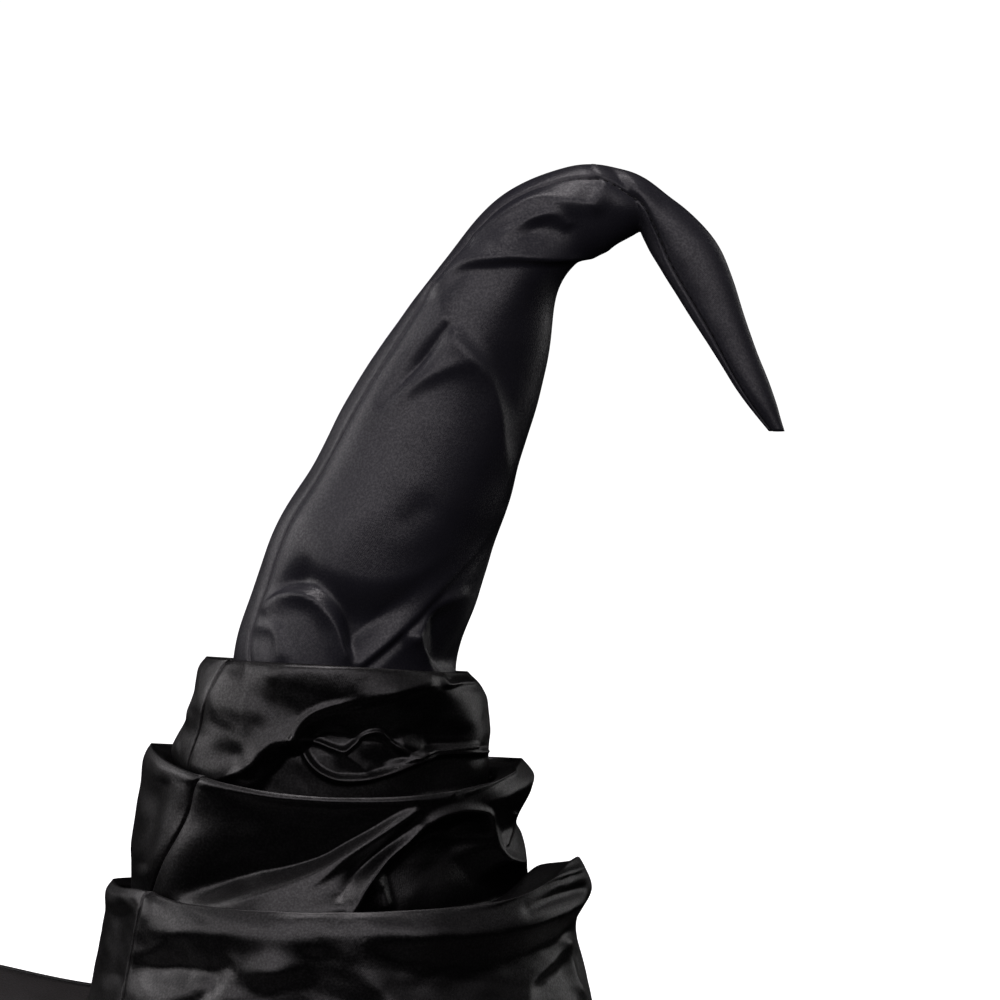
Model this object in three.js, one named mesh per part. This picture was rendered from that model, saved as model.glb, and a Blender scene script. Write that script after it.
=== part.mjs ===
// A black satin wizard hat: a tall cone of cloth tucked into three tiers, whose peak leans over and
// folds down to one side, sewn to a floppy round brim with a bound edge.
// Millimetres, +Z up. The brim rests on z = 0, the origin is under the middle of the head opening,
// -Y is the front and the peak falls towards +X.
import * as THREE from "three";

// Driving sizes
const HEAD_RADIUS = 96;
const CLOTH = 1.2;
const SEWN_GAP = 0.3;
const BRIM_RADIUS = 185;
const BRIM_THICKNESS = 2;
const BRIM_SEAT_HEIGHT = 11.5;
const BRIM_SEAT_MARGIN = 2.5;
const BRIM_REST_RADIUS = 152;
const BINDING_WIDTH = 2.6;
const BINDING_HEIGHT = 3.2;
const TUCK_DEPTH = 12;
const LIP_GAP = 3.6;
const LIP_DROP = 3.5;
const FRONT_DROP_POWER = 1.3;
const RIM_SAG = 0.13;
const FLAT_WITHIN = 0.05;

// How finely the round pieces are faceted
const CROWN_SIDES = 44;
const BRIM_SIDES = 60;
const BRIM_RINGS = 6;
const PEAK_STEPS = 2;
const SOLID_TIP_RINGS = 4;

// The folds on the front are laid out as they look from a little above the horizon
const LAYOUT_TILT = THREE.MathUtils.degToRad(6);

// Turns rows of numbers into rows with named columns.
function table(columns, rows) {
  return rows.map((row) => Object.fromEntries(columns.map((name, i) => [name, row[i]])));
}

// Each section of the crown is an oval through a left and a right point, as deep as it says from front to back.
// drop lowers its front, and shift moves it towards the back.
const SECTION = ["leftX", "leftZ", "rightX", "rightZ", "depth", "drop", "shift"];

// The faces of the tiers, from the brim up. A tier's last two sections are the side and the crest of its rolled rim.
const TIERS = {
  lower_tier: table(SECTION, [
    [-HEAD_RADIUS, 13.8, HEAD_RADIUS, 13.8, HEAD_RADIUS, 0, 0],
    [-91, 34, 92, 34, 92, 0, 0],
    [-88, 49.5, 88.5, 47, 89.5, 1, 0],
    [-86, 61.5, 87.5, 56, 89, 3, 0],
    [-85.5, 69, 92.5, 65, 88.5, 1.5, 0],
    [-82.5, 73.5, 88, 75, 84, 1.2, 0],
  ]),
  middle_tier: table(SECTION, [
    [-76, 75, 69, 82.5, 72.5, 5, 0],
    [-76, 86.5, 67, 89, 71, 4, 0],
    [-74.5, 98.5, 65.5, 96, 70, 5, 0],
    [-72.5, 109, 70.5, 107.5, 69.5, 6, 0],
    [-71.5, 118, 71.5, 112.5, 69.5, 7, 0],
    [-68, 123.5, 67, 118, 70, 8, 0],
  ]),
  top_tier: table(SECTION, [
    [-60.5, 123, 55, 120.5, 56.5, 3, 0],
    [-56, 132, 55.5, 130, 55.5, 0, 0],
    [-53, 140.5, 54.5, 139, 53.5, -2, 0],
    [-51, 151.5, 51, 146, 50.5, -4, 0],
    [-48, 155.5, 47, 150, 47, -5, 0],
  ]),
};

// A rim rises by lift in this direction, counted from +X towards the back, over this spread of degrees.
const RIM_LIFTS = table(["tier", "direction", "spread", "lift"], [
  ["lower_tier", -12, 22, 9],
  ["lower_tier", 211, 11, 2.5],
]);

// The peak, from inside the top tier, over the bend and down to the tip. Left becomes the outside of the bend.
const PEAK = table(SECTION, [
  [-38.5, 157, 43.5, 153, 39, -2, 0],
  [-30.5, 182, 51.5, 178, 38, 0, 0],
  [-21.5, 206, 57, 197.5, 36.5, 0, 0],
  [-10.5, 224, 62.5, 213, 34.5, 0, 0],
  [4, 251, 69, 236, 29.5, 0, 0],
  [18, 272.5, 75.5, 260.5, 26, 0, 0],
  [39, 301, 81, 291, 21, 0, 0],
  [59, 324, 90, 302, 17, 0, 0],
  [84, 335, 103.5, 307.5, 13.5, 0, -1],
  [103.5, 334.5, 109, 311, 11.5, 0, -3],
  [122, 323.5, 111.5, 308, 10.5, 0, -5],
  [138.5, 306, 117, 298, 10, 0, -7],
  [149.5, 275.5, 131, 275.5, 7.5, 0, -8],
  [160, 246.5, 149, 248, 4.5, 0, -8],
  [162.5, 239, 156, 239, 2.6, 0, -8],
]);

// Folds and dents run from one point to another, bowed sideways, and rise or sink by height.
// across is from left to right, up is up the view, and left and right are the widths to either side of the run.
const FOLD = ["fromAcross", "fromUp", "toAcross", "toUp", "bow", "left", "right", "height"];
const FRONT_FOLDS = table(FOLD, [
  [41, 275, 61, 225, 0, 6, 14, 2],
  [61, 208, 9, 152, 0, 3, 16, 3],
  [38, 170, 39, 154, 0, 8, 8, -5],
  [42, 295, 94, 302, 2, 10, 2.5, 3],
  [38, 279, 21, 252, 0, 5, 5, -1.5],
  [-20, 164, -5, 164, 0, 10, 10, 2.5],
  [2, 179, 34, 184, 0, 7, 7, -3.5],
  [103, 329, 109, 311, 0, 4, 8, 2.5],
  [-3, 121, 46, 134, 0, 10, 8, -6],
  [-10, 115, 54, 120, -4, 4, 4, 3],
  [28, 101, -14, 68, 0, 6, 6, 4],
  [53, 98, 8, 68, -8, 5, 5, 3.5],
  [-38, 86, -5, 84, 0, 14, 10, -5],
  [34, 78, 54, 86, 0, 10, 10, -5],
  [-69, 46, -46, 50, 0, 6, 6, -3.5],
  [82, 52, 91, 29, 0, 5, 5, 3],
]);
const BACK_FOLDS = table(FOLD, [
  [30, 265, 52, 210, 4, 9, 9, 3],
  [-15, 195, 20, 165, 0, 9, 14, 3.5],
  [-25, 145, 25, 130, 5, 9, 9, -5],
  [40, 110, -35, 92, 6, 8, 6, -5],
  [-5, 105, 25, 88, 0, 6, 6, 4],
  [-55, 58, 15, 46, -5, 8, 8, -4],
  [30, 62, 65, 38, 4, 8, 8, 4],
]);

// The brim's edge lifts off the floor in these directions, counted from +X towards the back.
const BRIM_WAVES = table(["direction", "rise", "spread"], [
  [150, 27.5, 26],
  [-25, 10, 26],
]);

const SATIN = new THREE.MeshStandardMaterial({ color: 0x141316, roughness: 0.36, metalness: 0 });
const BRIM_CLOTH = new THREE.MeshStandardMaterial({ color: 0x1b191a, roughness: 0.5, metalness: 0 });
const BINDING_CLOTH = new THREE.MeshStandardMaterial({ color: 0x100f10, roughness: 0.55, metalness: 0 });

function smooth(from, to, value) {
  return THREE.MathUtils.smoothstep(value, from, to);
}

function turnOf(side) {
  return (2 * Math.PI * side) / CROWN_SIDES;
}

// One in the row's direction, falling away over its spread of degrees.
function bump({ direction, spread }, turn) {
  const apart = THREE.MathUtils.euclideanModulo(THREE.MathUtils.radToDeg(turn) - direction + 180, 360) - 180;
  return Math.exp(-((apart / spread) ** 2));
}

// The tuck between a rim and the wall that rises inside it: both go down side by side to where they are stitched.
function tuckSections(crest, wall) {
  const beside = (outward, lower) => ({
    ...wall,
    leftX: wall.leftX - outward,
    rightX: wall.rightX + outward,
    leftZ: crest.leftZ - lower,
    rightZ: crest.rightZ - lower,
    depth: wall.depth + outward,
    drop: crest.drop,
  });
  return {
    rolledIn: [beside(LIP_GAP, LIP_DROP), beside(SEWN_GAP, TUCK_DEPTH)],
    foot: [beside(0, TUCK_DEPTH)],
  };
}

// The peak's sections again, with more between them on a smooth curve through the left and the right points.
function finerPeak() {
  const left = new THREE.CatmullRomCurve3(PEAK.map((s) => new THREE.Vector3(s.leftX, s.depth, s.leftZ)));
  const right = new THREE.CatmullRomCurve3(PEAK.map((s) => new THREE.Vector3(s.rightX, s.shift, s.rightZ)));
  const steps = (PEAK.length - 1) * PEAK_STEPS;
  return Array.from({ length: steps + 1 }, (_, i) => {
    const [l, r] = [left.getPoint(i / steps), right.getPoint(i / steps)];
    const drop = THREE.MathUtils.lerp(PEAK[0].drop, 0, Math.min(1, i / PEAK_STEPS));
    return { leftX: l.x, leftZ: l.z, rightX: r.x, rightZ: r.z, depth: l.y, drop, shift: r.y };
  });
}

// The lengths of cloth that the crown is sewn from, each with its sections from the bottom up.
function crownLengths() {
  const walls = Object.entries({ ...TIERS, peak: finerPeak() });
  const tucks = walls.slice(1).map(([, wall], i) => tuckSections(walls[i][1].at(-1), wall[0]));
  return walls.map(([name, wall], i) => ({
    name,
    sections: [...(tucks[i - 1]?.foot ?? []), ...wall, ...(tucks[i]?.rolledIn ?? [])],
  }));
}

// How far a rim's lifts raise it at a turn round the crown.
function rimLift(tier, turn) {
  return RIM_LIFTS.filter((row) => row.tier === tier).reduce((sum, row) => sum + row.lift * bump(row, turn), 0);
}

// A section's points, round from +X by way of the back, with its shares of the rim's lifts and of the sag at the back.
function ring(s, tier, liftShare, sagShare) {
  const centre = new THREE.Vector3((s.leftX + s.rightX) / 2, s.shift, (s.leftZ + s.rightZ) / 2);
  const across = new THREE.Vector3((s.rightX - s.leftX) / 2, 0, (s.rightZ - s.leftZ) / 2);
  return Array.from({ length: CROWN_SIDES }, (_, j) => {
    const turn = turnOf(j);
    const front = Math.max(0, -Math.sin(turn));
    const sag = RIM_SAG * s.depth * Math.max(0, Math.sin(turn));
    const raised = liftShare * rimLift(tier, turn) - sagShare * sag - s.drop * front ** FRONT_DROP_POWER;
    const point = centre.clone().addScaledVector(across, Math.cos(turn));
    return point.add(new THREE.Vector3(0, s.depth * Math.sin(turn), raised));
  });
}

// How far one fold lifts the cloth at a point of the layout.
function liftOf(fold, across, up) {
  const run = { across: fold.toAcross - fold.fromAcross, up: fold.toUp - fold.fromUp };
  const length = Math.hypot(run.across, run.up);
  const away = { across: across - fold.fromAcross, up: up - fold.fromUp };
  const along = (away.across * run.across + away.up * run.up) / length;
  const inside = THREE.MathUtils.clamp(along, 0, length);
  const share = inside / length;
  const aside = (run.across * away.up - run.up * away.across) / length - 4 * fold.bow * share * (1 - share);
  const width = aside > 0 ? fold.left : fold.right;
  const past = (along - inside) / Math.min(fold.left, fold.right);
  return fold.height * Math.exp(-((aside / width) ** 2) - past ** 2);
}

// All the folds at a point, fading towards the sides so that the outline stays.
function foldsAt(point, turn) {
  const facing = -Math.sin(turn);
  const weight = smooth(0.1, 0.55, Math.abs(facing));
  const front = facing > 0;
  const up = front ? point.z * Math.cos(LAYOUT_TILT) + point.y * Math.sin(LAYOUT_TILT) : point.z;
  const folds = front ? FRONT_FOLDS : BACK_FOLDS;
  return weight * folds.reduce((sum, fold) => sum + liftOf(fold, point.x, up), 0);
}

// The outward normal at a point of a grid of rings.
function normalAt(rings, i, j) {
  const sides = rings[i].length;
  const along = rings[Math.min(i + 1, rings.length - 1)][j].clone().sub(rings[Math.max(i - 1, 0)][j]);
  const around = rings[i][(j + 1) % sides].clone().sub(rings[i][(j + sides - 1) % sides]);
  return around.cross(along).normalize();
}

function middleOf(points) {
  return points.reduce((sum, p) => sum.addScaledVector(p, 1 / points.length), new THREE.Vector3());
}

// A closed surface from rings of points: faces between each ring and the next, then a cap where ends are given.
function skin(rings, { closedLoop = false, caps = [] } = {}) {
  const sides = rings[0].length;
  const positions = rings.flat().flatMap((p) => p.toArray());
  const index = [];
  const at = (i, j) => (i % rings.length) * sides + (j % sides);
  const bands = closedLoop ? rings.length : rings.length - 1;
  for (let i = 0; i < bands; i++) {
    for (let j = 0; j < sides; j++) {
      index.push(at(i, j), at(i, j + 1), at(i + 1, j + 1), at(i, j), at(i + 1, j + 1), at(i + 1, j));
    }
  }
  for (const { ringNumber, faces } of caps) {
    const hub = positions.length / 3;
    positions.push(...middleOf(rings[ringNumber]).toArray());
    for (let j = 0; j < sides; j++) {
      const edge = [at(ringNumber, j), at(ringNumber, j + 1)];
      index.push(...(faces > 0 ? edge : edge.reverse()), hub);
    }
  }
  const geometry = new THREE.BufferGeometry();
  geometry.setAttribute("position", new THREE.Float32BufferAttribute(positions, 3));
  geometry.setIndex(index);
  geometry.computeVertexNormals();
  return geometry;
}

// The ring with its folds pushed straight out from its middle or in towards it.
function foldedRing(points) {
  const middle = middleOf(points);
  return points.map((p, j) => {
    const outward = p.clone().sub(middle).normalize();
    return p.clone().addScaledVector(outward, foldsAt(p, turnOf(j)));
  });
}

// The outside of one length of cloth. A rim's lifts and sag come in over the upper part of its tier, and the foot
// that is sewn into the rim below sags with that rim.
function clothRings({ name, sections }) {
  return sections.map((s, i) => {
    const nearRim = name === "peak" ? 0 : smooth(0.3, 0.8, i / (sections.length - 1));
    const isSewnFoot = i === 0 && name !== "lower_tier";
    const points = ring(s, name, nearRim, isSewnFoot ? 1 : nearRim);
    return s.leftX === -HEAD_RADIUS ? points : foldedRing(points);
  });
}

// The same cloth's inside. Where it is cut level at the head opening, the cut stays level.
function liningRings(outside) {
  return outside.map((points, i) => {
    const levelCut = points.every((p) => p.z === points[0].z);
    return points.map((p, j) => {
      const inward = normalAt(outside, i, j).multiplyScalar(-CLOTH);
      return levelCut ? p.clone().add(inward.setZ(0).setLength(CLOTH)) : p.clone().add(inward);
    });
  });
}

// A tier is a wall of cloth open at both ends, and the peak is one that closes to a solid tip.
function clothGeometry(length) {
  const outside = clothRings(length);
  const inside = liningRings(outside).reverse();
  if (length.name !== "peak") return skin([...inside, ...outside], { closedLoop: true });
  const rings = [...inside.slice(SOLID_TIP_RINGS), ...outside];
  const caps = [{ ringNumber: 0, faces: -1 }, { ringNumber: rings.length - 1, faces: 1 }];
  return skin(rings, { caps });
}

// The height of the brim's underside: up at the head opening, down on the floor outside, and lifted by the waves.
function brimHeight(radius, turn) {
  const slope = 1 - smooth(HEAD_RADIUS + 1, BRIM_REST_RADIUS, radius);
  const reach = Math.max(0, (radius - HEAD_RADIUS) / (BRIM_RADIUS - HEAD_RADIUS));
  const lift = BRIM_WAVES.reduce((sum, wave) => sum + wave.rise * bump(wave, turn), 0);
  const settled = lift < FLAT_WITHIN ? 0 : lift;
  return BRIM_SEAT_HEIGHT * slope + settled * reach ** 2;
}

// A ring of points at one radius, raised above the brim's underside.
function brimRing(radius, raise) {
  return Array.from({ length: BRIM_SIDES }, (_, j) => {
    const turn = (2 * Math.PI * j) / BRIM_SIDES;
    const height = brimHeight(Math.min(radius, BRIM_RADIUS), turn);
    return new THREE.Vector3(radius * Math.cos(turn), radius * Math.sin(turn), height + raise);
  });
}

function brimGeometry() {
  const inner = HEAD_RADIUS - BRIM_SEAT_MARGIN;
  const widths = Array.from({ length: BRIM_RINGS - 1 }, (_, i) => i / (BRIM_RINGS - 2));
  const radii = [inner, ...widths.map((share) => HEAD_RADIUS + 1 + share * (BRIM_RADIUS - HEAD_RADIUS - 1))];
  const under = radii.map((r) => brimRing(r, 0));
  const over = radii.map((r) => brimRing(r, BRIM_THICKNESS)).reverse();
  return skin([...under, ...over], { closedLoop: true });
}

// The binding is a flat-bottomed cord of cloth with a rounded outside, laid against the brim's edge.
function bindingGeometry() {
  const inner = BRIM_RADIUS + SEWN_GAP;
  const profile = new THREE.Shape();
  profile.moveTo(0, BINDING_HEIGHT);
  profile.lineTo(0, 0);
  profile.lineTo(BINDING_WIDTH / 2, 0);
  profile.absellipse(BINDING_WIDTH / 2, BINDING_HEIGHT / 2, BINDING_WIDTH / 2, BINDING_HEIGHT / 2,
    -Math.PI / 2, Math.PI / 2, false);
  const outline = profile.getPoints(4).slice(0, -1);
  const apart = outline.filter((p, i) => i === 0 || p.distanceTo(outline[i - 1]) > 0.05);
  return skin(apart.map((p) => brimRing(inner + p.x, p.y)), { closedLoop: true });
}

function piece(name, geometry, material) {
  const mesh = new THREE.Mesh(geometry, material);
  mesh.name = name;
  return mesh;
}

const hat = new THREE.Group();
crownLengths().forEach((length) => hat.add(piece(length.name, clothGeometry(length), SATIN.clone())));
hat.add(piece("brim", brimGeometry(), BRIM_CLOTH));
hat.add(piece("brim_binding", bindingGeometry(), BINDING_CLOTH));

export default hat;
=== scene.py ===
import math
from collections import namedtuple

import bpy
import numpy as np
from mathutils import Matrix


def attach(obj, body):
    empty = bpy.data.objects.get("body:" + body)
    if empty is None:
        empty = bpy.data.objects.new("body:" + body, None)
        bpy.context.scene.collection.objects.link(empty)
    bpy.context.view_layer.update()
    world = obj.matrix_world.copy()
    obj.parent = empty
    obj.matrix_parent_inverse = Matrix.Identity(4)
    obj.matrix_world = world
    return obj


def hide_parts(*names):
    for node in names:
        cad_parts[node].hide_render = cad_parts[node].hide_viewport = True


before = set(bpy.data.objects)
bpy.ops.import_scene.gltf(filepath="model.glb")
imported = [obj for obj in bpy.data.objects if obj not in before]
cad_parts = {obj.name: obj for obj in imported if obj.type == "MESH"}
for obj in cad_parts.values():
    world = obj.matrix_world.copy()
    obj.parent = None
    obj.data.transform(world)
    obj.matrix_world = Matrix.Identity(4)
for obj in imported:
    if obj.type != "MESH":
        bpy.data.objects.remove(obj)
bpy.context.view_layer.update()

# Studio
# A pale seamless floor lit by a wide softbox in front, one overhead, two at the left and a strip behind at
# the right. The camera looks a little down at the front, close enough to cut off most of the brim.
VIEW_UP = math.radians(6)
PICTURE_WIDTH = 0.365
LENS = 400
SENSOR = 36
CAMERA_REACH = 200
AIM = (0.0591, 0.0, 0.2129)
FLOOR_REACH = 90
FLOOR_GLOW = 1.05

Softbox = namedtuple("Softbox", "name place size power colour")
SOFTBOXES = [
    Softbox("key_softbox", (-0.35, -1.7, 1.3), (3.6, 1.5), 26, (1.0, 0.935, 0.985)),
    Softbox("left_softbox", (-1.35, -0.1, 0.45), (0.7, 0.6), 3, (1.0, 0.95, 0.97)),
    Softbox("back_left_softbox", (-1.25, 0.5, 0.75), (0.7, 0.6), 3.5, (1.0, 0.96, 0.98)),
    Softbox("top_softbox", (-0.1, -0.1, 1.7), (0.9, 0.6), 11, (1.0, 0.94, 0.97)),
    Softbox("right_strip", (1.1, 0.7, 0.5), (0.35, 1.1), 2, (1.0, 0.98, 0.98)),
]


def put_in_scene(name, data):
    made = bpy.data.objects.new(name, data)
    bpy.context.scene.collection.objects.link(made)
    return made


camera = put_in_scene("camera", bpy.data.cameras.new("camera"))
camera.data.lens = LENS
camera.data.sensor_width = SENSOR
camera.data.clip_end = CAMERA_REACH
away = PICTURE_WIDTH * LENS / SENSOR
camera.location = (AIM[0], AIM[1] - away * math.cos(VIEW_UP), AIM[2] + away * math.sin(VIEW_UP))
camera.rotation_euler = (math.pi / 2 - VIEW_UP, 0, 0)
bpy.context.scene.camera = camera
bpy.context.scene.view_settings.view_transform = "Standard"


class Value:
    """A node's socket as a value that takes part in sums, each of which adds a node."""

    def __init__(self, nodes, socket):
        self.nodes = nodes
        self.socket = socket

    def maths(self, operation, first, second):
        return self.nodes.node("ShaderNodeMath", {"operation": operation}, {0: first, 1: second})

    def __add__(self, other):
        return self.maths("ADD", self, other)

    def __sub__(self, other):
        return self.maths("SUBTRACT", self, other)

    def __rsub__(self, other):
        return self.maths("SUBTRACT", other, self)

    def __mul__(self, other):
        return self.maths("MULTIPLY", self, other)

    __radd__ = __add__
    __rmul__ = __mul__


class Nodes:
    """A node tree, and the one way in which a node is added to it."""

    def __init__(self, tree):
        self.tree = tree

    def node(self, kind, settings=None, sockets=None, out=0):
        made = self.tree.nodes.new(kind)
        for name, value in (settings or {}).items():
            setattr(made, name, value)
        for key, value in (sockets or {}).items():
            if isinstance(value, Value):
                self.tree.links.new(value.socket, made.inputs[key])
            else:
                made.inputs[key].default_value = value
        return Value(self, made.outputs[out]) if made.outputs else None


class Finish(Nodes):
    """A material made of nodes."""

    def __init__(self, name):
        self.material = bpy.data.materials.new(name)
        self.material.use_nodes = True
        super().__init__(self.material.node_tree)
        self.tree.nodes.clear()

    def surface(self, sockets):
        shader = self.node("ShaderNodeBsdfPrincipled", {}, sockets)
        self.node("ShaderNodeOutputMaterial", {}, {"Surface": shader})
        return self.material


floor_corners = [(x * FLOOR_REACH, y * FLOOR_REACH, 0) for x, y in ((-1, -1), (1, -1), (1, 1), (-1, 1))]
floor_mesh = bpy.data.meshes.new("floor")
floor_mesh.from_pydata(floor_corners, [], [(0, 1, 2, 3)])
floor_mesh.materials.append(Finish("pale_floor").surface({
    "Base Color": (0.9, 0.9, 0.9, 1), "Roughness": 0.8,
    "Emission Color": (1, 1, 1, 1), "Emission Strength": FLOOR_GLOW}))
floor = put_in_scene("floor", floor_mesh)
floor.visible_glossy = False
floor.visible_diffuse = False

world = bpy.data.worlds.new("studio")
bpy.context.scene.world = world
world.use_nodes = True
world.node_tree.nodes["Background"].inputs["Color"].default_value = (1, 1, 1, 1)
world.cycles_visibility.glossy = False
world.cycles_visibility.diffuse = False

for box in SOFTBOXES:
    lamp = bpy.data.lights.new(box.name, "AREA")
    lamp.shape = "RECTANGLE"
    lamp.size, lamp.size_y = box.size
    lamp.energy = box.power
    lamp.color = box.colour
    light = put_in_scene(box.name, lamp)
    light.location = box.place
    light.visible_camera = False
    towards = np.array(AIM) - np.array(box.place)
    turn = math.atan2(towards[1], towards[0]) - math.pi / 2
    lean = math.atan2(-towards[2], math.hypot(towards[0], towards[1]))
    light.rotation_euler = (math.pi / 2 - lean, 0, turn)

# Brim
# A floppy ring of doubled black cloth, cut flat and sewn to the foot of the crown. It rests on the floor
# all round except where its edge lifts, most of all behind the left side.
MM = 0.001
HEAD_RADIUS = 96
BRIM_RADIUS = 185
BRIM_INNER = 93.5
BRIM_THICKNESS = 2
BRIM_SEAT_HEIGHT = 11.5
BRIM_SEAT_WIDTH = 1
BRIM_REST_RADIUS = 152
BRIM_RINGS = 48
BRIM_SIDES = 420
BRIM_UNEVENNESS = 0.25
EVEN_BY_THE_EDGE = 12
GROOVE_DEPTH = 0.9
GROOVE_INSET = 1.5
GROOVE_WIDTH = 1.6

Wave = namedtuple("Wave", "direction rise spread")
BRIM_WAVES = [Wave(150, 27.5, 26), Wave(-25, 10, 26)]


def smooth(start, end, value):
    t = np.clip((value - start) / (end - start), 0, 1)
    return t * t * (3 - 2 * t)


def raised(waves, turns):
    """How far waves raise an edge. Their directions are in degrees, from +X towards the back."""
    total = 0
    for wave in waves:
        apart = (np.degrees(turns) - wave.direction + 180) % 360 - 180
        total = total + wave.rise * np.exp(-((apart / wave.spread) ** 2))
    return total


def brim_height(radius, turns):
    """The height of the brim's underside: up at the crown, on the floor outside, and raised by its waves."""
    slope = 1 - smooth(HEAD_RADIUS + BRIM_SEAT_WIDTH, BRIM_REST_RADIUS, radius)
    reach = np.clip((radius - HEAD_RADIUS) / (BRIM_RADIUS - HEAD_RADIUS), 0, 1)
    return BRIM_SEAT_HEIGHT * slope + raised(BRIM_WAVES, turns) * reach**2


def faces_between(rings, bands):
    """The corners of the faces between closed rings of points, where the last ring leads on to the first."""
    count, sides = rings.shape[:2]
    i, j = np.meshgrid(np.arange(bands), np.arange(sides), indexing="ij")
    i2, j2 = (i + 1) % count, (j + 1) % sides
    corners = [i * sides + j, i * sides + j2, i2 * sides + j2, i2 * sides + j]
    return np.stack(corners, axis=2).reshape(-1, 4)


def mesh_piece(name, points, faces, flat_places, finish):
    """A smooth piece of cloth, with a flat place for every corner of its faces, which the weave follows."""
    mesh = bpy.data.meshes.new(name)
    mesh.from_pydata((points * MM).tolist(), [], faces)
    mesh.polygons.foreach_set("use_smooth", np.ones(len(mesh.polygons), bool))
    layer = mesh.uv_layers.new(name="cloth")
    layer.data.foreach_set("uv", flat_places.ravel())
    mesh.materials.append(finish)
    mesh.update()
    return put_in_scene(name, mesh)


CLOUD_SCALE = 60
GRAIN_SCALE = 1250
WEAVE_SCALE = 900
WEAVE_SWAY = 1.5
DARKEST, PALEST = 0.8, 1.25
WEAVE_RELIEF = 0.25
GRAIN_RELIEF = 0.9
CLOUD_RELIEF = 1.5
RELIEF_STRENGTH = 0.14
RELIEF_DEPTH = 0.0006
ROUGHNESS_SPREAD = 0.1
SHEEN_STRETCH = 0.6
GRAIN_SHOWS_FROM = 0.4
GRAIN_CONTRAST = 2
GRAIN_ROUGHNESS = 0.4
MIX_FACTOR, MIX_FROM, MIX_TO, MIX_RESULT = 0, 6, 7, 2


def satin(name, shade, roughness, gloss):
    """Black satin: a nearly black base, a soft sheen with a fine grain, and a weave along the cloth."""
    finish = Finish(name)
    place = finish.node("ShaderNodeUVMap", {"uv_map": "cloth"})
    whole = finish.node("ShaderNodeTexCoord", out="Object")
    cloud = finish.node("ShaderNodeTexNoise", {}, {"Vector": whole, "Scale": CLOUD_SCALE, "Detail": 3})
    grain = finish.node("ShaderNodeTexNoise", {}, {"Vector": whole, "Scale": GRAIN_SCALE, "Detail": 2})
    weave = finish.node("ShaderNodeTexWave", {"wave_type": "BANDS", "bands_direction": "DIAGONAL"},
                        {"Vector": place, "Scale": WEAVE_SCALE, "Distortion": WEAVE_SWAY}, out="Fac")
    darkest = (*(part * DARKEST for part in shade), 1)
    palest = (*(part * PALEST for part in shade), 1)
    colour = finish.node("ShaderNodeMix", {"data_type": "RGBA"},
                         {MIX_FACTOR: cloud, MIX_FROM: darkest, MIX_TO: palest}, out=MIX_RESULT)
    relief = finish.node("ShaderNodeBump", {}, {
        "Height": weave * WEAVE_RELIEF + grain * GRAIN_RELIEF + cloud * CLOUD_RELIEF,
        "Strength": RELIEF_STRENGTH, "Distance": RELIEF_DEPTH})
    return finish.surface({
        "Base Color": colour, "Roughness": roughness + (cloud - 0.5) * ROUGHNESS_SPREAD, "Normal": relief,
        "Specular IOR Level": gloss, "Anisotropic": SHEEN_STRETCH,
        "Coat Weight": (grain - GRAIN_SHOWS_FROM) * GRAIN_CONTRAST, "Coat Roughness": GRAIN_ROUGHNESS})


brim_cloth = satin("dull_black_cloth", shade=(0.022, 0.020, 0.020), roughness=0.5, gloss=0.5)
turns = np.linspace(0, 2 * np.pi, BRIM_SIDES, endpoint=False)[None, :]
radii = np.linspace(BRIM_INNER, BRIM_RADIUS, BRIM_RINGS)[:, None]
under_height = brim_height(radii, turns)
from_edge = BRIM_RADIUS - radii
groove = GROOVE_DEPTH * np.exp(-((from_edge - GROOVE_INSET) / GROOVE_WIDTH) ** 2)
uneven = BRIM_UNEVENNESS * np.sin(5 * turns + radii / 14) * np.sin(3 * turns - radii / 9)
over_height = under_height + BRIM_THICKNESS - groove + uneven * smooth(0, EVEN_BY_THE_EDGE, from_edge)
plan = np.stack([radii * np.cos(turns), radii * np.sin(turns)], axis=2)
under = np.concatenate([plan, under_height[..., None]], axis=2)
over = np.concatenate([plan, over_height[..., None]], axis=2)
brim_rings = np.concatenate([under, over[::-1]])
brim_points = brim_rings.reshape(-1, 3)
brim_faces = faces_between(brim_rings, len(brim_rings))
brim_places = brim_points[brim_faces.ravel(), :2] * MM
brim = mesh_piece("brim_cloth", brim_points, brim_faces.tolist(), brim_places, brim_cloth)
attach(brim, "root")
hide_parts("brim")

# Binding
# A narrow strip of the same black satin is folded over the brim's edge and sewn through, so that it ends
# in a round bead all the way round.
BINDING_WIDTH = 2.6
BINDING_HEIGHT = 3.2
SEWN_GAP = 0.3
BINDING_SIDES = 14
BINDING_POINTS = 480


class Build(Nodes):
    """A tree of geometry nodes with named inputs, ending in real mesh with one material."""

    def __init__(self, name, inputs):
        super().__init__(bpy.data.node_groups.new(name, "GeometryNodeTree"))
        sockets = self.tree.interface
        sockets.new_socket("Path", in_out="INPUT", socket_type="NodeSocketGeometry")
        for label, kind in inputs.items():
            sockets.new_socket(label, in_out="INPUT", socket_type=kind)
        sockets.new_socket("Mesh", in_out="OUTPUT", socket_type="NodeSocketGeometry")
        self.start = self.tree.nodes.new("NodeGroupInput")

    def given(self, label):
        return Value(self, self.start.outputs[label])

    def end(self, geometry):
        real = self.node("GeometryNodeRealizeInstances", {}, {"Geometry": geometry})
        dressed = self.node("GeometryNodeSetMaterial", {},
                            {"Geometry": real, "Material": self.given("Material")})
        self.node("NodeGroupOutput", {}, {"Mesh": dressed})


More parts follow.
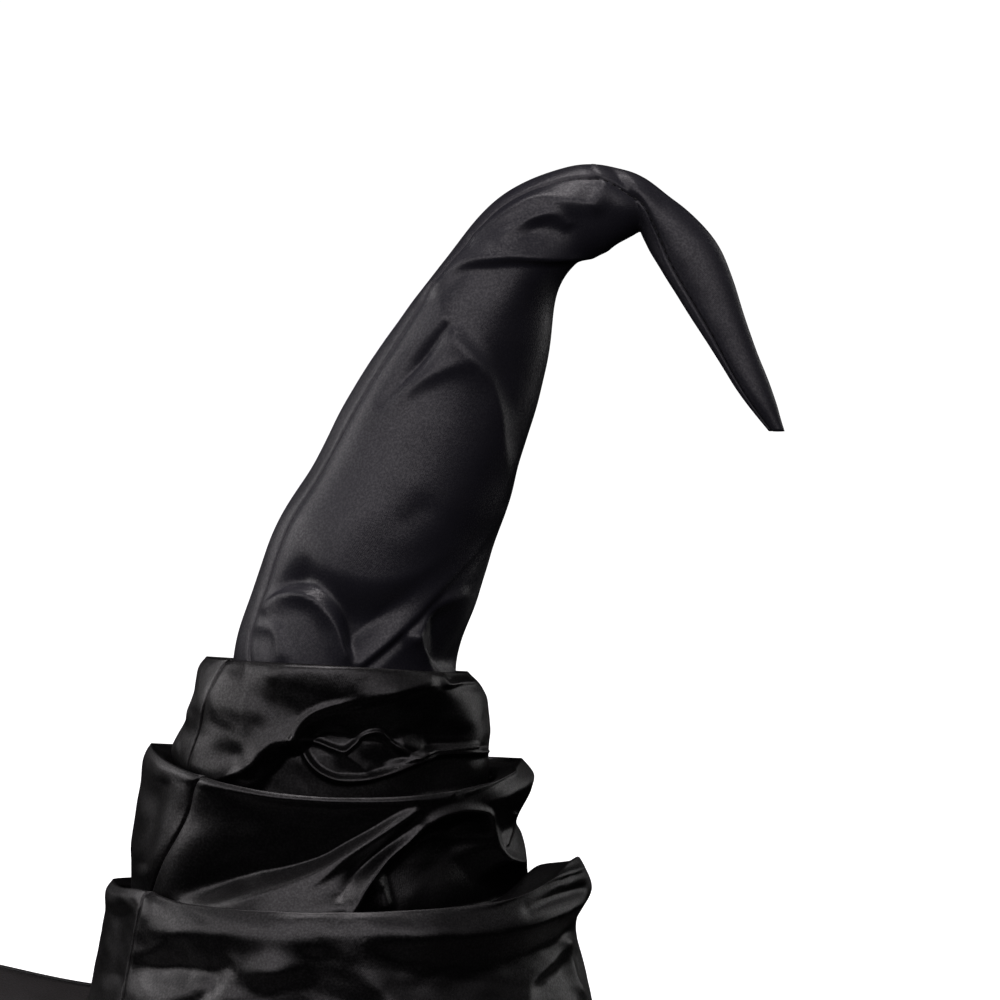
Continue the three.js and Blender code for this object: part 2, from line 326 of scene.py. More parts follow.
def built(name, tree, points, closed, values):
    """The mesh that a tree makes of a path, as an object of its own."""
    count = len(points)
    edges = [(k, k + 1) for k in range(count - 1)] + ([(count - 1, 0)] if closed else [])
    path = bpy.data.meshes.new(name)
    path.from_pydata((np.asarray(points) * MM).tolist(), edges, [])
    piece = put_in_scene(name, path)
    modifier = piece.modifiers.new(name, "NODES")
    modifier.node_group = tree
    for item in tree.interface.items_tree:
        if item.name in values:
            modifier[item.identifier] = values[item.name]
    graph = bpy.context.evaluated_depsgraph_get()
    mesh = bpy.data.meshes.new_from_object(piece.evaluated_get(graph))
    piece.modifiers.remove(modifier)
    piece.data = mesh
    mesh.name = name
    return piece


binding_build = Build("binding", {"Half width": "NodeSocketFloat", "Half height": "NodeSocketFloat",
                                  "Sides": "NodeSocketInt", "Material": "NodeSocketMaterial"})
rim = binding_build.node("GeometryNodeMeshToCurve", {}, {"Mesh": binding_build.given("Path")})
upright = binding_build.node("GeometryNodeSetCurveNormal", {"mode": "Z_UP"}, {"Curve": rim})
ring = binding_build.node("GeometryNodeCurvePrimitiveCircle", {},
                          {"Resolution": binding_build.given("Sides"), "Radius": 1.0})
oval = binding_build.node("ShaderNodeCombineXYZ", {}, {
    "X": binding_build.given("Half height"), "Y": binding_build.given("Half width"), "Z": 1.0})
profile = binding_build.node("GeometryNodeTransform", {}, {"Geometry": ring, "Scale": oval})
bead = binding_build.node("GeometryNodeCurveToMesh", {}, {"Curve": upright, "Profile Curve": profile})
binding_build.end(bead)

binding_satin = satin("binding_satin", shade=(0.010, 0.0095, 0.0095), roughness=0.42, gloss=0.5)
rim_turns = np.linspace(0, 2 * np.pi, BINDING_POINTS, endpoint=False)
rim_radius = BRIM_RADIUS + SEWN_GAP + BINDING_WIDTH / 2
rim_path = np.stack([rim_radius * np.cos(rim_turns), rim_radius * np.sin(rim_turns),
                     brim_height(BRIM_RADIUS, rim_turns) + BINDING_HEIGHT / 2], axis=1)
binding = built("brim_binding_strip", binding_build.tree, rim_path, True, {
    "Half width": BINDING_WIDTH / 2 * MM, "Half height": BINDING_HEIGHT / 2 * MM,
    "Sides": BINDING_SIDES, "Material": binding_satin})
binding.data.polygons.foreach_set("use_smooth", np.ones(len(binding.data.polygons), bool))
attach(binding, "root")
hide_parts("brim_binding")

# Lower tier
# The first length of satin rises from the brim, flares a little and rolls inwards at its rim. It is a wall
# of cloth round the head, sewn up one seam at the left of the front and stitched into the tuck above.
CLOTH = 1.2
TUCK_DEPTH = 12
FOLDS_START = 8
TURNED_UNDER = 0.9
LIP_GAP = 3.6
LIP_DROP = 3.5
RIM_ROUND = 1.0
FRONT_DROP = 1.3
RIM_SAG = 0.13
RIM_STARTS, RIM_ENDS = 0.3, 0.8
FOOT_ENDS = 0.2
TURNS_SIDEWAYS = 0.3

Section = namedtuple("Section", "left_x left_z right_x right_z depth drop shift")
Fold = namedtuple("Fold", "path heights left right crest")
Hollow = namedtuple("Hollow", "depth edges")
Edge = namedtuple("Edge", "path bank slope")


def through(rows, count):
    """That many rows on a smooth curve through the given ones, evenly spaced along it."""
    rows = np.array(rows, float)
    steps = np.linalg.norm(np.diff(rows, axis=0), axis=1)
    places = np.concatenate([[0], np.cumsum(steps)])
    slopes = np.gradient(rows, places, axis=0)
    wanted = np.linspace(0, places[-1], count)
    i = np.clip(np.searchsorted(places, wanted, "right") - 1, 0, len(steps) - 1)
    step = steps[i][:, None]
    t = (wanted - places[i])[:, None] / step
    start, end = rows[i], rows[i + 1]
    leave, arrive = slopes[i] * step, slopes[i + 1] * step
    return ((2 * t**3 - 3 * t**2 + 1) * start + (t**3 - 2 * t**2 + t) * leave
            + (3 * t**2 - 2 * t**3) * end + (t**3 - t**2) * arrive)


CROWDED_AT_THE_BACK = 0.5
CROWDED_OVER_THE_FRONT = 1.5
CROWDED_BY_THE_SEAM = 2
SEAM_CROWD_SPREAD = 4
FRONT_ENDS = (150, 175)
FRONT_RETURNS = (300, 325)
TRIAL_TURNS = 4000


def round_the_seam(count):
    """Turns on from the seam, closer together by the seam and over the front than at the back."""
    trial = np.linspace(0, 2 * np.pi, TRIAL_TURNS)
    degrees = np.degrees(trial)
    from_seam = np.minimum(degrees, 360 - degrees)
    front = 1 - smooth(*FRONT_ENDS, degrees) + smooth(*FRONT_RETURNS, degrees)
    crowding = (CROWDED_AT_THE_BACK + CROWDED_OVER_THE_FRONT * front
                + CROWDED_BY_THE_SEAM * np.exp(-((from_seam / SEAM_CROWD_SPREAD) ** 2)))
    reached = np.concatenate([[0], np.cumsum(crowding[:-1])])
    return np.interp(np.arange(count) / count * reached[-1], reached, trial)


def tuck_sections(crest, wall):
    """The rolled-in end of a rim and the foot of the wall inside it, side by side down to their stitches."""
    def beside(outward, lower):
        return Section(wall.left_x - outward, crest.left_z - lower, wall.right_x + outward,
                       crest.right_z - lower, wall.depth + outward, crest.drop, wall.shift)
    outer = crest._replace(left_x=crest.left_x - RIM_ROUND, right_x=crest.right_x + RIM_ROUND,
                           left_z=crest.left_z - RIM_ROUND, right_z=crest.right_z - RIM_ROUND,
                           depth=crest.depth + RIM_ROUND)
    inner = outer._replace(left_x=crest.left_x + RIM_ROUND, right_x=crest.right_x - RIM_ROUND,
                           depth=crest.depth - RIM_ROUND)
    rolled = [outer, crest, inner, beside(LIP_GAP, LIP_DROP + RIM_ROUND), beside(SEWN_GAP, TUCK_DEPTH),
              beside(-TURNED_UNDER, TUCK_DEPTH + TURNED_UNDER)]
    return rolled, beside(0, TUCK_DEPTH)


PATH_STEPS = 64
TINY = 1e-9


def nearest_on(path, points, onward=0):
    """For each point, how far the path is, how squarely left of it the point lies, and how far along.
    The path may run onward straight past both ends."""
    line = through(path, PATH_STEPS)
    line[0] -= onward * (line[1] - line[0])
    line[-1] += onward * (line[-1] - line[-2])
    runs = np.diff(line, axis=0)
    lengths = np.linalg.norm(runs, axis=1)
    along = np.clip(((points[:, None] - line[:-1]) * runs).sum(2) / lengths**2, 0, 1)
    offsets = points[:, None] - (line[:-1] + along[..., None] * runs)
    distances = np.linalg.norm(offsets, axis=2)
    closest = distances.argmin(1)
    each = np.arange(len(points))
    apart, off, run = distances[each, closest], offsets[each, closest], runs[closest]
    left = (run[:, 0] * off[:, 1] - run[:, 1] * off[:, 0]) / np.maximum(lengths[closest] * apart, TINY)
    return apart, left, (closest + along[each, closest]) / len(runs)


def spread_along(values, share):
    """A value that changes along a path, from one number or several evenly spaced ones."""
    values = np.atleast_1d(values)
    return np.interp(share, np.linspace(0, 1, len(values)), values)


def fold_lift(fold, points):
    """How far a fold raises the cloth at points of the front or the back, seen square on."""
    reach = max(np.max(fold.left), np.max(fold.right)) + fold.crest
    low, high = np.min(fold.path, axis=0) - reach, np.max(fold.path, axis=0) + reach
    near = np.all((points > low) & (points < high), axis=1)
    apart, left, share = nearest_on(fold.path, points[near])
    width = spread_along(fold.right, share)
    width = width + (spread_along(fold.left, share) - width) * smooth(-1, 1, left)
    fallen = np.clip((np.hypot(apart, fold.crest) - fold.crest) / width, 0, 1)
    lift = np.zeros(len(points))
    lift[near] = spread_along(fold.heights, share) * (1 - fallen) ** 2
    return lift


EDGE_ROUND = 0.7
EDGE_RUNS_ON = 400
SLOPES = {
    "crisp": lambda share: 1 - (1 - share) ** 2,
    "straight": lambda share: share,
    "soft": lambda share: share * share * (3 - 2 * share),
}


def hollow_lift(hollow, points):
    """How far a hollow sinks the cloth: it lies right of each of its edges and has a bank along each."""
    depth = np.full(len(points), -float(hollow.depth))
    for edge in hollow.edges:
        apart, left, share = nearest_on(edge.path, points, EDGE_RUNS_ON)
        inside = np.where(left < 0, np.hypot(apart, EDGE_ROUND) - EDGE_ROUND, 0)
        depth *= SLOPES[edge.slope](np.clip(inside / spread_along(edge.bank, share), 0, 1))
    return depth


def lift_of(forms, across, up):
    points = np.stack([across.ravel(), up.ravel()], axis=1)
    total = np.zeros(len(points))
    for form in forms:
        total += hollow_lift(form, points) if isinstance(form, Hollow) else fold_lift(form, points)
    return total.reshape(across.shape)


RIPPLES = 14
RIPPLE_HEIGHT = 0.45
SHORTEST_RIPPLE, LONGEST_RIPPLE = 7, 46
RIPPLE_SWAY = 0.6
RIPPLE_SWAY_PACE = 0.37
RING_STEP = 0.9


def ripples(across, up, seed):
    """A soft unevenness all over the cloth, from waves in many directions."""
    chance = np.random.default_rng(seed)
    total = np.zeros_like(across)
    for _ in range(RIPPLES):
        length = chance.uniform(SHORTEST_RIPPLE, LONGEST_RIPPLE)
        turn = chance.uniform(0, np.pi)
        start = chance.uniform(0, 2 * np.pi)
        wave = (across * np.cos(turn) + up * np.sin(turn)) * 2 * np.pi / length
        sway = RIPPLE_SWAY * np.sin(wave * RIPPLE_SWAY_PACE + start)
        total += np.sin(wave + start + sway) * length / LONGEST_RIPPLE
    return total * RIPPLE_HEIGHT / np.sqrt(RIPPLES)


SEAM_DEPTH = 0.9
SEAM_WIDTH = 0.6
SEAM_PULL = 1.1
SEAM_REACH = 3.5
SEAM_CLEAR = 6


def seam_lift(from_seam):
    """How far the cloth is pulled in by its seam: a narrow groove at the bottom of a wider dip."""
    groove = SEAM_DEPTH * np.exp(-((from_seam / SEAM_WIDTH) ** 2))
    dip = SEAM_PULL * np.exp(-np.abs(from_seam) / SEAM_REACH)
    return -groove - dip


def normals_of(rings):
    along = np.gradient(rings, axis=0)
    around = np.roll(rings, -1, axis=1) - np.roll(rings, 1, axis=1)
    square = np.cross(around, along)
    return square / np.maximum(np.linalg.norm(square, axis=2, keepdims=True), TINY)


LINING_STEP = 10
LINING_SIDES = (-6, -3, 0, 3, 6)
WALL_TURNS_OVER = 0.4


def within_reach(lift, least_or_most):
    """The least or the most that the cloth is lifted within a lining's step of each point."""
    reached = lift
    for rings in range(-LINING_STEP, LINING_STEP + 1, 2):
        places = np.clip(np.arange(len(lift)) + rings, 0, len(lift) - 1)
        reached = least_or_most(reached, lift[places])
    return least_or_most.reduce([np.roll(reached, sides, axis=1) for sides in LINING_SIDES])


def cloth(sections, seam_turns, rings, sides, front_folds, back_folds, seed,
          rim_waves=(), foot_sag=RIM_SAG, tucked=True):
    """One length of cloth as rings of points from the bottom up: its outside, and a smoother inside.
    Its folds run out where it is stitched, at its foot and in the tuck that its rim is rolled into."""
    rows = through(np.column_stack([np.array(sections), seam_turns]), rings)
    s = Section(*rows[:, :-1].T[:, :, None])
    seam = np.radians(rows[:, -1:])
    turns = seam + round_the_seam(sides)[None, :]
    facing = -np.sin(turns)
    half = (s.right_x - s.left_x) / 2
    x = (s.left_x + s.right_x) / 2 + half * np.cos(turns)
    y = s.shift + s.depth * np.sin(turns)
    slant = (s.right_z - s.left_z) / 2 * np.cos(turns)
    z = (s.left_z + s.right_z) / 2 + slant - s.drop * np.maximum(0, facing) ** FRONT_DROP
    way_up = np.linspace(0, 1, rings)[:, None]
    near_rim = smooth(RIM_STARTS, RIM_ENDS, way_up)
    near_foot = smooth(FOOT_ENDS, 0, way_up)
    rim_sag = RIM_SAG if tucked else 0
    z = z - np.maximum(near_rim * rim_sag, near_foot * foot_sag) * np.maximum(0, y)
    z = z + near_rim * raised(rim_waves, turns)
    points = np.stack([x, y, z], axis=2)
    outward = points - points.mean(axis=1, keepdims=True)
    outward /= np.linalg.norm(outward, axis=2, keepdims=True)

    up = z * math.cos(VIEW_UP) + y * math.sin(VIEW_UP)
    lift = (lift_of(front_folds, x, up) * smooth(0, TURNS_SIDEWAYS, facing)
            + lift_of(back_folds, x, z) * smooth(0, TURNS_SIDEWAYS, -facing))
    girth = (np.abs(half) + s.depth) / 2
    from_seam = ((turns - seam + np.pi) % (2 * np.pi) - np.pi) * girth
    ring_heights = np.cumsum(np.ones_like(x), axis=0) * RING_STEP
    lift += ripples(from_seam, ring_heights, seed) * smooth(0, SEAM_CLEAR, np.abs(from_seam))
    lift += seam_lift(from_seam)
    lift *= smooth(0, FOLDS_START, z - z[0])
    if tucked:
        crest = z.mean(axis=1).argmax()
        past_crest = np.arange(rings)[:, None] > crest
        lift *= np.where(past_crest, smooth(TUCK_DEPTH, 0, z[crest] - z), 1)

    faces_out = normals_of(points)
    on_wall = smooth(-WALL_TURNS_OVER, WALL_TURNS_OVER, (faces_out * outward).sum(2))
    lining = on_wall * within_reach(lift, np.minimum) + (1 - on_wall) * within_reach(lift, np.maximum)
    return points + outward * lift[..., None], points - faces_out * CLOTH + outward * lining[..., None]


def cloth_places(rings, bands):
    """A flat place, round the cloth and along it, for every corner of the faces between its rings."""
    count, sides = rings.shape[:2]
    i, j = np.meshgrid(np.arange(bands), np.arange(sides), indexing="ij")
    i2 = (i + 1) % count
    step_along = np.linalg.norm(np.diff(rings, axis=0), axis=2).mean(1)
    along = np.concatenate([[0], np.cumsum(step_along), [step_along.sum()]]) * MM
    step_round = np.linalg.norm(np.roll(rings, -1, axis=1) - rings, axis=2)
    round_it = np.concatenate([np.zeros((count, 1)), np.cumsum(step_round, axis=1)], axis=1) * MM
    u = np.stack([round_it[i, j], round_it[i, j + 1], round_it[i2, j + 1], round_it[i2, j]], axis=2)
    v = np.stack([along[i], along[i], along[i + 1], along[i + 1]], axis=2)
    return np.stack([u, v], axis=3).reshape(-1, 2)


def cloth_piece(name, outside, inside, finish, solid_tip=False):
    """A wall of cloth as one closed mesh: its outside and a coarser inside, which ends below a solid tip."""
    kept = np.unique(np.append(np.arange(0, len(inside), LINING_STEP), len(inside) - 1))
    inner = inside[kept][::-1]
    rings = np.concatenate([inner[1:] if solid_tip else inner, outside])
    count, sides = rings.shape[:2]
    bands = count - 1 if solid_tip else count
    points = rings.reshape(-1, 3)
    faces = faces_between(rings, bands).tolist()
    flat_places = cloth_places(rings, bands)
    if solid_tip:
        hub, last = count * sides, (count - 1) * sides
        inner_cap = [((k + 1) % sides, k, hub) for k in range(sides)]
        outer_cap = [(last + k, last + (k + 1) % sides, hub + 1) for k in range(sides)]
        points = np.concatenate([points, rings[[0]].mean(1), rings[[-1]].mean(1)])
        faces += inner_cap + outer_cap
        flat_places = np.concatenate([flat_places, np.zeros((3 * len(inner_cap + outer_cap), 2))])
    return mesh_piece(name, points, faces, flat_places, finish)


STITCH_LENGTH = 2.0
STITCH_THICKNESS = 0.8
STITCH_PITCH = 3.2

stitch_build = Build("stitches", {"Length": "NodeSocketFloat", "Thickness": "NodeSocketFloat",
                                  "Pitch": "NodeSocketFloat", "Material": "NodeSocketMaterial"})
seam_line = stitch_build.node("GeometryNodeMeshToCurve", {}, {"Mesh": stitch_build.given("Path")})
places = stitch_build.node("GeometryNodeResampleCurve", {"mode": "LENGTH"},
                           {"Curve": seam_line, "Length": stitch_build.given("Pitch")})
bead = stitch_build.node("GeometryNodeMeshUVSphere", {}, {"Segments": 6, "Rings": 4, "Radius": 0.5})
slimness = stitch_build.node("ShaderNodeCombineXYZ", {}, {
    "X": stitch_build.given("Length"), "Y": stitch_build.given("Thickness"),
    "Z": stitch_build.given("Thickness")})
stitch = stitch_build.node("GeometryNodeTransform", {}, {"Geometry": bead, "Scale": slimness})
onward = stitch_build.node("GeometryNodeInputTangent")
turned = stitch_build.node("FunctionNodeAlignRotationToVector", {"axis": "X"}, {"Vector": onward})
row = stitch_build.node("GeometryNodeInstanceOnPoints", {},
                        {"Points": places, "Instance": stitch, "Rotation": turned})
stitch_build.end(row)


def seam_stitches(name, outside, first, last, thread):
    """A row of stitches along a length's seam, from one share of its way up to another."""
    rings = len(outside)
    line = outside[int(first * rings):int(last * rings), 0]
    row = built(name, stitch_build.tree, line, False, {
        "Length": STITCH_LENGTH * MM, "Thickness": STITCH_THICKNESS * MM, "Pitch": STITCH_PITCH * MM,
        "Material": thread})
    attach(row, "root")
    return row


crown_satin = satin("black_satin", shade=(0.0015, 0.0014, 0.0016), roughness=0.37, gloss=0.44)
thread = satin("black_thread", shade=(0.002, 0.002, 0.002), roughness=0.7, gloss=0.2)

LOWER_WALL = [
    Section(-HEAD_RADIUS, 13.8, HEAD_RADIUS, 13.8, HEAD_RADIUS, 0, 0),
    Section(-91, 34, 92, 34, 92, 0, 0),
    Section(-88, 49.5, 88.5, 47, 89.5, 1, 0),
    Section(-86, 61.5, 87.5, 56, 89, 3, 0),
    Section(-85.5, 69, 92.5, 65, 88.5, 1.5, 0),
    Section(-82.5, 73.5, 88, 75, 84, 1.2, 0),
]
LOWER_RIM_WAVES = [Wave(-12, 9, 22), Wave(211, 2.5, 11)]
MIDDLE_START = Section(-76, 75, 69, 82.5, 72.5, 5, 0)

LOWER_FOLDS = [
    Fold(((-76, 42), (-70, 42), (-60, 42), (-46, 42.5), (-35, 45)),
         (0, -3.2, -4.2, -3, 0), (3, 6, 13, 13, 9), 9, 3.5),
    Fold(((-68, 56), (-47, 55.7), (-28, 54.5), (-10, 52), (4, 49.3)), (0.6, 0.9, 0.7, 0.5, 0), 6, 6, 1.8),
    Fold(((-77, 34), (-62, 35), (-48, 35), (-36, 32)), (0, 1, 1.5, 0.8), 6, 9, 5),
    Fold(((-68.5, 68), (-71.5, 55), (-74.2, 43), (-77.8, 30)), (1.2, 1.6, 1.6, 1), 3, 6, 0.8),
    Fold(((-80, 60), (-82, 40)), (-1.5, -1.5), 6, 6, 2),
    Fold(((-33, 42), (-24, 42.5), (-13, 44)), (1, 4, 2), 11, 7, 3),
    Fold(((-45, 36), (-51, 31), (-54, 27)), (-2.5, -3, -2.5), 5, 8, 2),
    Fold(((-9, 46), (-10, 30)), (-2.5, -2.5), 10, 10, 4),
    Fold(((6, 46), (16, 36), (24, 27)), (1, 2, 2), 11, 11, 3),
    Fold(((0.7, 57.8), (6, 59.5), (10.2, 61), (16.5, 57.8), (27.1, 55.2), (42.9, 54.7), (55.6, 55.2),
          (64, 56.8), (76.7, 61), (88.3, 63.1)), (0, 1, 1.2, 1.2, 1.2, 1.4, 1.2), 5, 12, 4),
    Fold(((25, 43), (40, 41), (60, 44)), (-1, -1.6, -1), 13, 13, 6),
    Fold(((81.9, 51), (74.5, 43.1), (69.3, 37.8), (68, 30)), (1.5, 2, 2, 1.5), 6, 8, 1.5),
    Fold(((81.9, 51), (83.5, 45.2), (85.1, 38.9), (90.4, 29)), (1.5, 2.2, 2.2, 2), 3, 3, 0.7),
    Fold(((41.9, 63.6), (59.8, 67.3), (74.5, 73.7), (88.3, 77.4)), (0, 1.2, 1.5, 1.2), 2.2, 2.2, 0.4),
    Fold(((70, 64), (80, 67.5), (90, 70)), (-1.5, -2.5, -2.5), 5, 5, 1),
]
BACK_LOWER_FOLDS = [
    Fold(((-55, 58), (-20, 54), (15, 46)), (-1, -4, 0), 15, 15, 3),
    Fold(((30, 62), (50, 52), (65, 36)), (1, 4, 1), 12.5, 15, 1.5),
    Fold(((-70, 40), (-40, 36), (-10, 40)), (0, 3, 0), 12.5, 12.5, 2),
]
lower_rolled, middle_foot = tuck_sections(LOWER_WALL[-1], MIDDLE_START)
lower_sections = LOWER_WALL[:-1] + lower_rolled
lower_seam = np.linspace(210, 217, len(lower_sections))
lower_outside, lower_inside = cloth(
    lower_sections, lower_seam, rings=170, sides=500, front_folds=LOWER_FOLDS, back_folds=BACK_LOWER_FOLDS,
    seed=3, rim_waves=LOWER_RIM_WAVES, foot_sag=0)
lower_tier = cloth_piece("lower_tier_satin", lower_outside, lower_inside, crown_satin)
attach(lower_tier, "root")
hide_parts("lower_tier")
lower_stitches = seam_stitches("lower_tier_stitches", lower_outside, first=0.02, last=0.68, thread=thread)

# Middle tier
# The second length of satin comes out of the first tuck. Its rim rolls over in a crisp edge into the next
# tuck, its seam slants, and a pair of folds runs down across its front to the left.
MIDDLE_WALL = [
    MIDDLE_START,
    Section(-76, 86.5, 67, 89, 71, 4, 0),
    Section(-74.5, 98.5, 65.5, 96, 70, 5, 0),
    Section(-72.5, 109, 70.5, 107.5, 69.5, 6, 0),
    Section(-71.5, 118, 71.5, 112.5, 69.5, 7, 0),
    Section(-68, 123.5, 67, 118, 70, 8, 0),
]
TOP_START = Section(-60.5, 123, 55, 120.5, 56.5, 3, 0)
MIDDLE_FOLDS = [
    Hollow(12, [Edge(((-72, 113), (-46, 106.5), (-31, 104), (-21, 103), (-2, 102), (10.5, 103),
                      (21, 103.4), (40, 104)), 38, "straight"),
                Edge(((40, 107), (31, 101.5), (28.4, 99.6), (18.9, 93.3), (5.2, 84.5), (-5.4, 77.5),
                      (-16.7, 72.4), (-35.7, 66), (-60, 60)), (2.5, 2.5, 2.5, 3.5, 6, 9, 10, 10), "soft"),
                Edge(((-68, 60), (-64, 75), (-58, 95), (-54, 112)), 20, "soft")]),
    Hollow(9, [Edge(((3, 60), (9.4, 71.1), (13.6, 76.4), (18.9, 82.7), (26.3, 89), (33.7, 95.4),
                     (40, 98.5), (47.4, 99.6), (54.8, 97.5), (56.3, 92.2), (57.9, 86.9), (63.2, 81.1),
                     (71.6, 79), (82, 79.5)), 9, "crisp")]),
    Fold(((28.4, 99.6), (18.9, 93.3), (5.2, 83.8), (-5.4, 75.5), (-14, 70)),
         (1.2, 1.6, 1.6, 1, 0), 3, 3, 0.9),
    Fold(((3, 60), (9.4, 71.1), (13.6, 76.4), (18.9, 82.7), (26.3, 89), (33.7, 95.4), (40, 98.5),
          (47.4, 99.6), (54.8, 97.5), (56.3, 92.2), (57.9, 86.9), (63.2, 81.1), (71.6, 79), (80, 79.3)),
         (1.5, 1.8, 1.8, 1.8, 1.5, 1.2, 1), 3, 2.5, 0.8),
    Fold(((-71, 80), (-68, 95), (-64, 108)), (-1.2, -1.6, -1), 5, 4, 1.5),
    Fold(((64.2, 97), (61, 86.9)), (1, 1), 2, 2, 0.4),
    Fold(((-30, 60), (-12, 62), (3, 64)), (2, 5, 4), 14, 16, 3),
    Fold(((30, 94.5), (20, 87), (9.3, 78), (1.5, 70)), (-1.5, -3, -3, -1.5), 4, 5, 0.8),
    Fold(((19, 71), (21, 65)), (3.5, 4), 5, 5, 3),
    Fold(((42, 106.6), (53, 115.6)), (1, 1.5), 2.5, 2.5, 0.5),
    Fold(((47.5, 106.6), (56, 110), (63, 113.3)), (1, 1.5, 1.5), 2.5, 2.5, 0.5),
]
BACK_MIDDLE_FOLDS = [
    Fold(((40, 110), (5, 98), (-35, 92)), (-1, -5, -2), 17.5, 12.5, 3),
    Fold(((-5, 106), (10, 96), (25, 86)), (1, 4, 2), 12.5, 12.5, 1.5),
    Fold(((-50, 102), (-40, 92), (-36, 82)), (1, 3, 1), 12.5, 12.5, 1.5),
]
middle_rolled, top_foot = tuck_sections(MIDDLE_WALL[-1], TOP_START)
middle_sections = [middle_foot] + MIDDLE_WALL[:-1] + middle_rolled
middle_seam = [203, 206.5, 213, 219, 221.5, 222.5, 223, 223.5, 224, 224, 224, 224]
middle_outside, middle_inside = cloth(
    middle_sections, middle_seam, rings=180, sides=500, front_folds=MIDDLE_FOLDS,
    back_folds=BACK_MIDDLE_FOLDS, seed=5)
middle_tier = cloth_piece("middle_tier_satin", middle_outside, middle_inside, crown_satin)
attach(middle_tier, "root")
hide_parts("middle_tier")
middle_stitches = seam_stitches("middle_tier_stitches", middle_outside, first=0.18, last=0.74, thread=thread)

# Top tier
# The third length of satin is the shortest, sewn and tucked like the others. A pouch of slack cloth sags
# across its front and hangs over its own lip.
TOP_WALL = [
    TOP_START,
    Section(-56, 132, 55.5, 130, 55.5, 0, 0),
    Section(-53, 140.5, 54.5, 139, 53.5, -2, 0),
    Section(-51, 151.5, 51, 146, 50.5, -4, 0),
    Section(-48, 155.5, 47, 150, 47, -5, 0),
]
PEAK_START = Section(-38.5, 157, 43.5, 153, 39, -2, 0)
TOP_FOLDS = [
    Hollow(8, [Edge(((-40, 112), (-31, 116), (-23, 123), (-16, 125), (-14.3, 127.4), (-11, 130.7),
                     (-6, 133.6), (2.4, 135.7), (13.2, 137.4), (21.6, 139.9), (28.3, 143.2), (36, 145.5),
                     (46, 145)), (5, 5, 5, 9, 14, 18, 18), "straight"),
               Edge(((44, 160), (50, 140), (53, 120), (55, 100)), 12, "soft")]),
    Fold(((-15.4, 125.9), (-13.3, 130.2), (-9.6, 133.9), (-4.3, 136.6), (2, 138.4), (8.4, 140)),
         (1, 1.2, 1.2, 1, 0), 2.4, 2, 0.5),
    Fold(((10, 140.5), (20, 142.5), (30, 146)), (0.5, 1.5, 1), 6, 4, 1),
    Fold(((-32, 152), (-18, 151.5), (0, 151), (14, 150.5), (30, 149)), (1, 5, 6, 5, 4), 5, 24, 2),
    Fold(((-50, 137), (-40, 137), (-30, 136), (-22, 135)), (2, 3.5, 3, 0), 14, 16, 5),
    Fold(((-15.4, 124.9), (-12.7, 118.6), (-7.5, 113.3), (-0.1, 110.1), (10.5, 109.6), (17.8, 110.7),
          (26.3, 113.3), (33.7, 115.9), (42.1, 119.1), (54, 120)),
         (2.5, 3.2, 3.6, 3.6, 3.4, 3, 2), 1.8, 2.2, 0.5),
    Fold(((22, 114), (30, 116.5), (38, 119.8), (50, 122)), (0, 3, 3, 2), 2, 2, 0.4),
    Fold(((-12.7, 124.4), (-7.5, 123.3), (-1.1, 121.2), (4.1, 120.2), (8.4, 122.8), (12.6, 126.5),
          (17.8, 127.2), (22, 124.9), (26.3, 121.7), (33.7, 117.5)),
         (1.6, 2, 2, 2, 1.6, 1), 1.6, 1.8, 0.5),
    Fold(((4, 119), (14, 113)), (1, 1), 4, 4, 0.8),
    Fold(((29, 122.5), (35, 120.5)), (2.5, 2.5), 5, 5, 2),
    Fold(((-16.8, 125), (-22.6, 124), (-27.6, 120), (-31, 111)), (1, 1.8, 1.8), 3, 9, 0.8),
    Fold(((-39, 118), (-38, 114)), (-1, -1), 7, 7, 2.5),
    Fold(((-53.6, 111), (-48.3, 127), (-45.2, 136.5), (-40.9, 145), (-37.8, 153.9)),
         (1.6, 2, 2, 1.6), 14, 14, 0.4),
    Fold(((-36, 110.5), (-35, 109.5)), (1.5, 1.5), 4, 4, 1.5),
    Fold(((35.8, 148), (37.9, 145.5), (44.2, 145.6), (51, 145.4)), (1, 1.4, 1.4, 1), 2.2, 2.2, 0.4),
]
BACK_TOP_FOLDS = [
    Fold(((-25, 145), (0, 140), (25, 130)), (-2, -5, -2), 17.5, 17.5, 3),
    Fold(((-35, 130), (-10, 126), (20, 122)), (1, 3, 1), 10, 12.5, 1.5),
]
top_rolled, peak_foot = tuck_sections(TOP_WALL[-1], PEAK_START)
top_sections = [top_foot] + TOP_WALL[:-1] + top_rolled
top_seam = np.linspace(207, 226, len(top_sections))
top_outside, top_inside = cloth(
    top_sections, top_seam, rings=170, sides=480, front_folds=TOP_FOLDS, back_folds=BACK_TOP_FOLDS, seed=8)
top_tier = cloth_piece("top_tier_satin", top_outside, top_inside, crown_satin)
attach(top_tier, "root")
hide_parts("top_tier")
top_stitches = seam_stitches("top_tier_stitches", top_outside, first=0.2, last=0.7, thread=thread)

